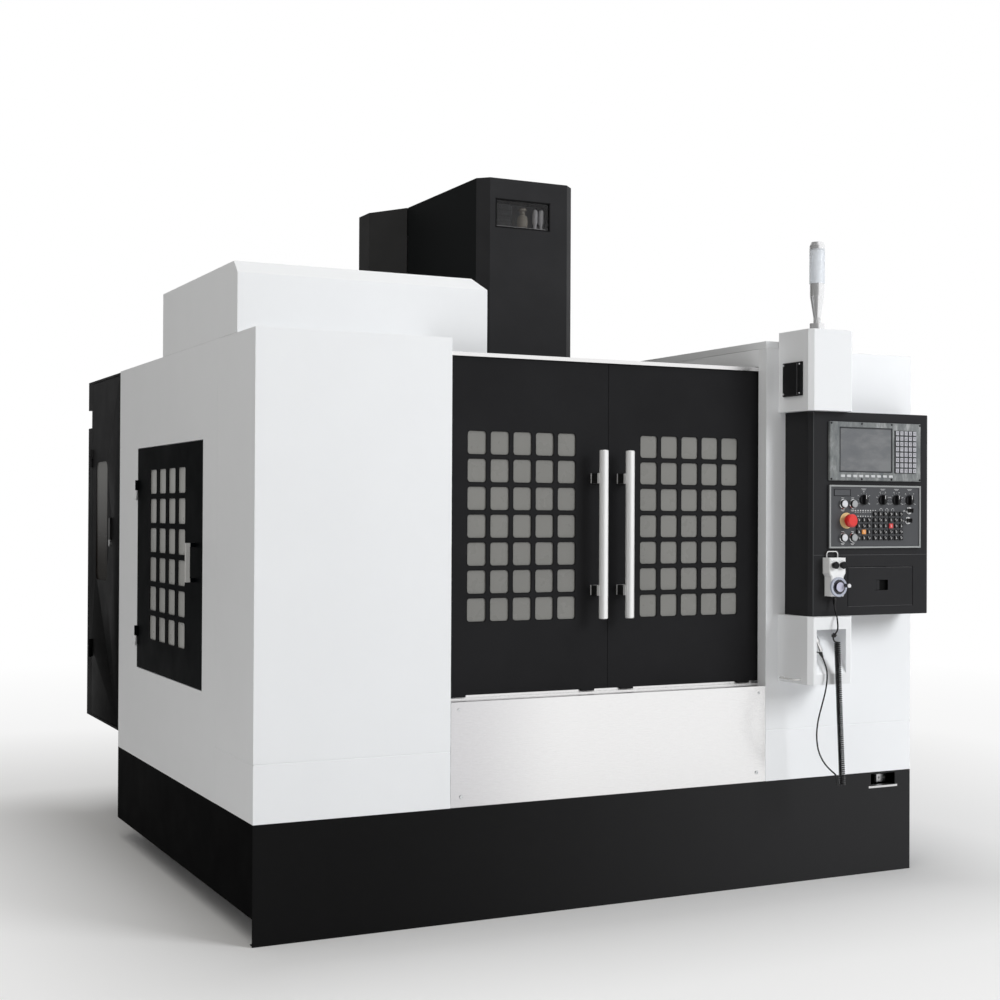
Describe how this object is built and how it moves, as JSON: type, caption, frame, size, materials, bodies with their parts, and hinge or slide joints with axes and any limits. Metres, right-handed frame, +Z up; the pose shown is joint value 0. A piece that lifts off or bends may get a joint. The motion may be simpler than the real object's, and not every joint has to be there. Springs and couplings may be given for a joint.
{
  "type": "cnc machining center",
  "caption": "Enclosed vertical machining center: white sheet enclosure with black sliding window doors, side control box with pendant, roof covers and a cabinet behind",
  "frame": {"origin": "middle of the footprint, on the floor", "axes": "+Z up, +X to the right as seen from the front, -Y toward the operator"},
  "size_m": [3.048, 3.0502, 3],
  "materials": {
    "white_paint": "satin powder coat",
    "black_paint": "satin powder coat",
    "panel_black": "fine texture powder coat",
    "stainless": "brushed",
    "cast_grey": "painted casting",
    "machined_iron": "ground",
    "steel_parts": "machined",
    "window_pane": "tinted, smooth",
    "handle_metal": "polished",
    "tower_metal": "polished",
    "tower_lens": "clear ribbed",
    "display": "fine grain",
    "keys": "moulded",
    "button_white": "moulded",
    "stop_red": "moulded",
    "knob_black": "moulded",
    "pendant_shell": "moulded",
    "plug_metal": "anodised",
    "cord": "smooth"
  },
  "bodies": {
    "root": {"base_casting": "cast_grey", "levelling_feet": "steel_parts", "front_skirt": "black_paint", "side_skirts": "black_paint", "left_column_panel": "white_paint", "right_column_panel": "white_paint", "left_side_panel": "white_paint", "right_side_panel": "white_paint", "sill_panel": "stainless", "door_rails": "stainless", "left_roof_cover": "white_paint", "right_roof_cover": "white_paint", "column_casting": "cast_grey", "column_cover": "black_paint", "control_pillar": "white_paint", "vent_cover": "black_paint", "tower_light_base": "tower_metal", "tower_light_lens": "tower_lens", "control_box": "panel_black", "display_unit": "display", "operator_panel": "display", "keypads": "keys", "cabinet_shell": "black_paint", "pendant_body": "pendant_shell", "pendant_plug": "plug_metal", "upper_lead": "cord", "curly_cord": "cord", "lower_lead": "cord", "magazine_frame": "cast_grey"},
    "left_door": {"left_door": "black_paint", "left_door_pane": "window_pane", "left_door_handle": "handle_metal"},
    "right_door": {"right_door": "black_paint", "right_door_pane": "window_pane", "right_door_handle": "handle_metal"},
    "left_side_door": {"left_side_door": "black_paint", "left_side_pane": "window_pane"},
    "right_side_door": {"right_side_door": "black_paint", "right_side_pane": "window_pane"},
    "cabinet_door": {"cabinet_door": "black_paint"},
    "cabinet_lever": {"cabinet_lever": "panel_black"},
    "operator_drawer": {"operator_drawer": "panel_black"},
    "emergency_stop": {"emergency_stop": "stop_red"},
    "pendant_dial": {"pendant_dial": "plug_metal"},
    "saddle": {"saddle": "cast_grey"},
    "table": {"table": "machined_iron"},
    "head": {"spindle_head": "cast_grey", "head_cover": "black_paint"},
    "spindle": {"spindle": "steel_parts"},
    "tool_magazine": {"tool_magazine": "steel_parts"},
    "push_button_1": {"push_button_1": "button_white"},
    "selector_knob_1": {"selector_knob_1": "knob_black"},
    "push_button_2": {"push_button_2": "button_white"},
    "selector_knob_2": {"selector_knob_2": "knob_black"},
    "push_button_3": {"push_button_3": "button_white"},
    "selector_knob_3": {"selector_knob_3": "knob_black"},
    "push_button_4": {"push_button_4": "button_white"},
    "selector_knob_4": {"selector_knob_4": "knob_black"},
    "key_switch_1": {"key_switch_1": "steel_parts"},
    "key_switch_2": {"key_switch_2": "steel_parts"}
  },
  "joints": [
    {"name": "left_door_slide", "type": "slide", "parent": "root", "child": "left_door", "axis": [-1, 0, 0], "range_m": [0, 0.62]},
    {"name": "right_door_slide", "type": "slide", "parent": "root", "child": "right_door", "axis": [1, 0, 0], "range_m": [0, 0.62]},
    {"name": "left_side_door_hinge", "type": "hinge", "parent": "root", "child": "left_side_door", "pos_m": [-1.4933, 0.46765, 0.841], "axis": [0, 0, -1], "range_deg": [0, 110]},
    {"name": "right_side_door_hinge", "type": "hinge", "parent": "root", "child": "right_side_door", "pos_m": [1.4933, 0.46765, 0.841], "axis": [0, 0, 1], "range_deg": [0, 110]},
    {"name": "cabinet_door_hinge", "type": "hinge", "parent": "root", "child": "cabinet_door", "pos_m": [-1.4933, 1.42165, 0.506], "axis": [0, 0, -1], "range_deg": [0, 110]},
    {"name": "cabinet_lever_turn", "type": "hinge", "parent": "cabinet_door", "child": "cabinet_lever", "pos_m": [-1.486, 0.99815, 1.495], "axis": [1, 0, 0], "range_deg": [0, 90]},
    {"name": "drawer_slide", "type": "slide", "parent": "root", "child": "operator_drawer", "axis": [0, -1, 0], "range_m": [0, 0.1]},
    {"name": "emergency_stop_press", "type": "slide", "parent": "root", "child": "emergency_stop", "axis": [0, 1, 0], "range_m": [0, 0.006]},
    {"name": "pendant_dial_turn", "type": "hinge", "parent": "root", "child": "pendant_dial", "pos_m": [0.92, -1.48315, 1.245], "axis": [0, -1, 0], "continuous": true},
    {"name": "saddle_slide", "type": "slide", "parent": "root", "child": "saddle", "axis": [0, 1, 0], "range_m": [-0.3, 0.3]},
    {"name": "table_slide", "type": "slide", "parent": "saddle", "child": "table", "axis": [1, 0, 0], "range_m": [-0.48, 0.48]},
    {"name": "head_slide", "type": "slide", "parent": "root", "child": "head", "axis": [0, 0, 1], "range_m": [-0.6, 0]},
    {"name": "spindle_turn", "type": "hinge", "parent": "head", "child": "spindle", "pos_m": [0, -0.23685, 1.7], "axis": [0, 0, 1], "continuous": true},
    {"name": "magazine_turn", "type": "hinge", "parent": "root", "child": "tool_magazine", "pos_m": [-0.78, -0.41685, 2.085], "axis": [1, 0, 0], "continuous": true},
    {"name": "push_button_1_press", "type": "slide", "parent": "root", "child": "push_button_1", "axis": [0, 1, 0], "range_m": [0, 0.003], "stiffness_N_per_m": 400},
    {"name": "push_button_2_press", "type": "slide", "parent": "root", "child": "push_button_2", "axis": [0, 1, 0], "range_m": [0, 0.003], "stiffness_N_per_m": 400},
    {"name": "push_button_3_press", "type": "slide", "parent": "root", "child": "push_button_3", "axis": [0, 1, 0], "range_m": [0, 0.003], "stiffness_N_per_m": 400},
    {"name": "push_button_4_press", "type": "slide", "parent": "root", "child": "push_button_4", "axis": [0, 1, 0], "range_m": [0, 0.003], "stiffness_N_per_m": 400},
    {"name": "selector_knob_1_turn", "type": "hinge", "parent": "root", "child": "selector_knob_1", "pos_m": [1.083, -1.44485, 1.603], "axis": [0, 1, 0], "range_deg": [-135, 135]},
    {"name": "selector_knob_2_turn", "type": "hinge", "parent": "root", "child": "selector_knob_2", "pos_m": [1.183, -1.44485, 1.603], "axis": [0, 1, 0], "range_deg": [-135, 135]},
    {"name": "selector_knob_3_turn", "type": "hinge", "parent": "root", "child": "selector_knob_3", "pos_m": [1.256, -1.44485, 1.603], "axis": [0, 1, 0], "range_deg": [-135, 135]},
    {"name": "selector_knob_4_turn", "type": "hinge", "parent": "root", "child": "selector_knob_4", "pos_m": [1.326, -1.44485, 1.603], "axis": [0, 1, 0], "range_deg": [-135, 135]},
    {"name": "key_switch_1_turn", "type": "hinge", "parent": "root", "child": "key_switch_1", "pos_m": [1.322, -1.44485, 1.559], "axis": [0, 1, 0], "range_deg": [0, 90]},
    {"name": "key_switch_2_turn", "type": "hinge", "parent": "root", "child": "key_switch_2", "pos_m": [1.316, -1.44485, 1.517], "axis": [0, 1, 0], "range_deg": [0, 90]}
  ]
}
